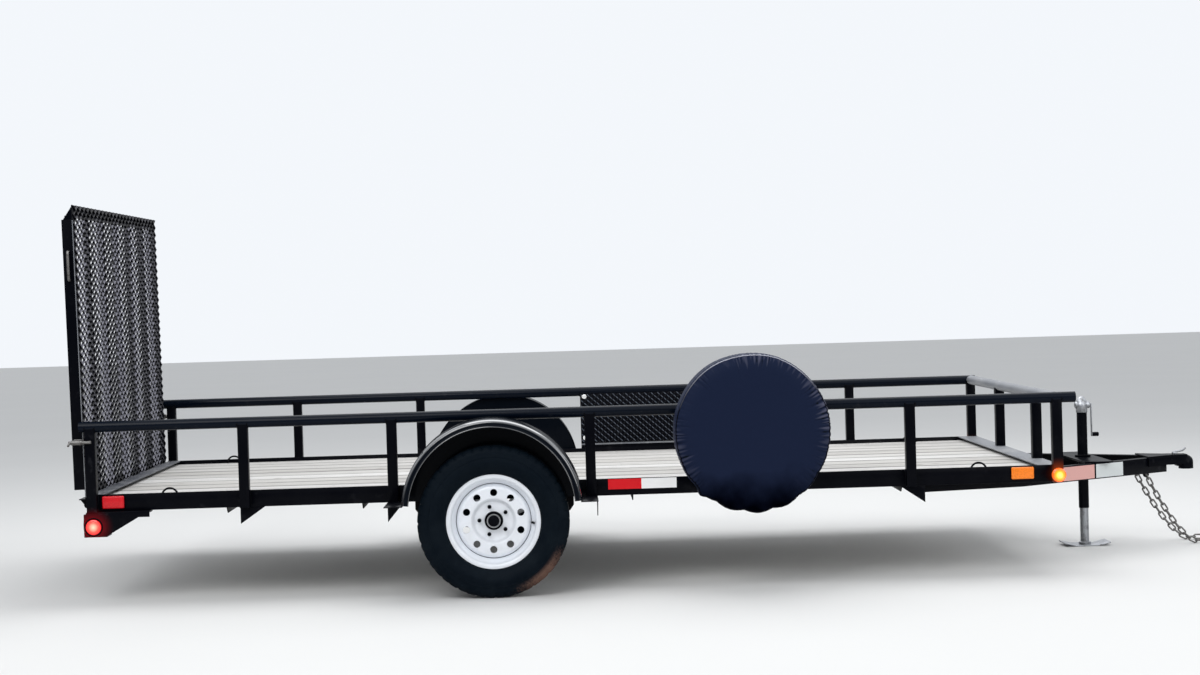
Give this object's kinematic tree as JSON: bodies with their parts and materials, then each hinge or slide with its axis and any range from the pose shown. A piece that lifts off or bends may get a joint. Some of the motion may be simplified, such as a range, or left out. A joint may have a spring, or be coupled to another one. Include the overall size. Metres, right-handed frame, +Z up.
{
  "type": "single axle utility trailer",
  "caption": "Single axle utility trailer with a board deck, pipe side rails, a mesh ramp gate, an A-frame tongue and a covered spare wheel.",
  "frame": {"origin": "on the ground, under the centre of the trailer's bounding box", "axes": "+X forward to the coupler, +Y to the left side, +Z up"},
  "size_m": [5.441, 2.524, 1.787],
  "materials": {
    "frame_black": "semi-gloss black paint, dusty and lightly scuffed",
    "rail_grey": "black paint worn to grey steel on top",
    "fender_black": "gloss black paint",
    "mesh_black": "black paint with bright edges on the strands",
    "plate_black": "black painted tread plate",
    "spring_steel": "black paint with road dirt",
    "deck_wood": "weathered pale grey boards",
    "tyre_rubber": "satin rubber, dusty tread with a muddy patch",
    "rim_white": "white paint",
    "hub_dark": "dark paint",
    "zinc": "zinc plated, dulled",
    "crank_black": "black coated steel",
    "chain_steel": "zinc plated chain, dulled",
    "red_lens": "clear red lens, lit",
    "amber_lens": "clear amber lens, lit",
    "cover_vinyl": "soft black vinyl"
  },
  "bodies": {
    "trailer": {"frame_rail_left": "frame_black", "frame_rail_right": "frame_black", "front_header": "frame_black", "rear_header": "rail_grey", "crossmembers": "frame_black", "deck_planks": "deck_wood", "posts_left": "frame_black", "posts_right": "frame_black", "posts_front": "frame_black", "top_rail_left": "frame_black", "top_rail_right": "frame_black", "front_top_rail": "rail_grey", "spare_tyre": "tyre_rubber", "spare_rim": "rim_white", "axle": "frame_black", "leaf_spring_left": "spring_steel", "leaf_spring_right": "spring_steel", "spring_hangers_left": "frame_black", "spring_hangers_right": "frame_black", "fender_left": "fender_black", "fender_right": "fender_black", "fender_brackets_left": "frame_black", "fender_brackets_right": "frame_black", "hinge_barrels": "frame_black", "tongue_rail_left": "frame_black", "tongue_rail_right": "frame_black", "coupler": "zinc", "coupler_latch": "zinc", "jack_mount": "frame_black", "jack_tube": "frame_black", "jack_head": "zinc", "jack_crank": "crank_black", "tail_light_left": "frame_black", "tail_light_right": "frame_black", "red_lenses": "red_lens", "amber_lenses": "amber_lens", "gussets": "frame_black", "tie_loops": "frame_black", "tread_panel": "plate_black", "spare_cover": "cover_vinyl", "spare_mount": "frame_black", "safety_chains": "chain_steel", "chain_anchors": "frame_black"},
    "wheel_left": {"tyre_left": "tyre_rubber", "rim_left": "rim_white", "hub_left": "hub_dark"},
    "wheel_right": {"tyre_right": "tyre_rubber", "rim_right": "rim_white", "hub_right": "hub_dark"},
    "gate": {"gate_frame": "frame_black", "gate_mesh": "mesh_black", "gate_handles": "frame_black", "gate_hinges": "frame_black", "gate_latches": "zinc"},
    "jack_leg": {"jack_leg": "zinc"}
  },
  "joints": [
    {"name": "wheel_left_spin", "type": "hinge", "parent": "trailer", "child": "wheel_left", "pos_m": [-0.82562, 1.14, 0.335], "axis": [0, 1, 0], "continuous": true},
    {"name": "wheel_right_spin", "type": "hinge", "parent": "trailer", "child": "wheel_right", "pos_m": [-0.82562, -1.14, 0.335], "axis": [0, 1, 0], "continuous": true},
    {"name": "gate_hinge", "type": "hinge", "parent": "trailer", "child": "gate", "pos_m": [-2.65462, 0, 0.44], "axis": [0, -1, 0], "range_deg": [0, 106]},
    {"name": "jack_leg_slide", "type": "slide", "parent": "trailer", "child": "jack_leg", "axis": [0, 0, 1], "range_m": [0, 0.16]}
  ]
}
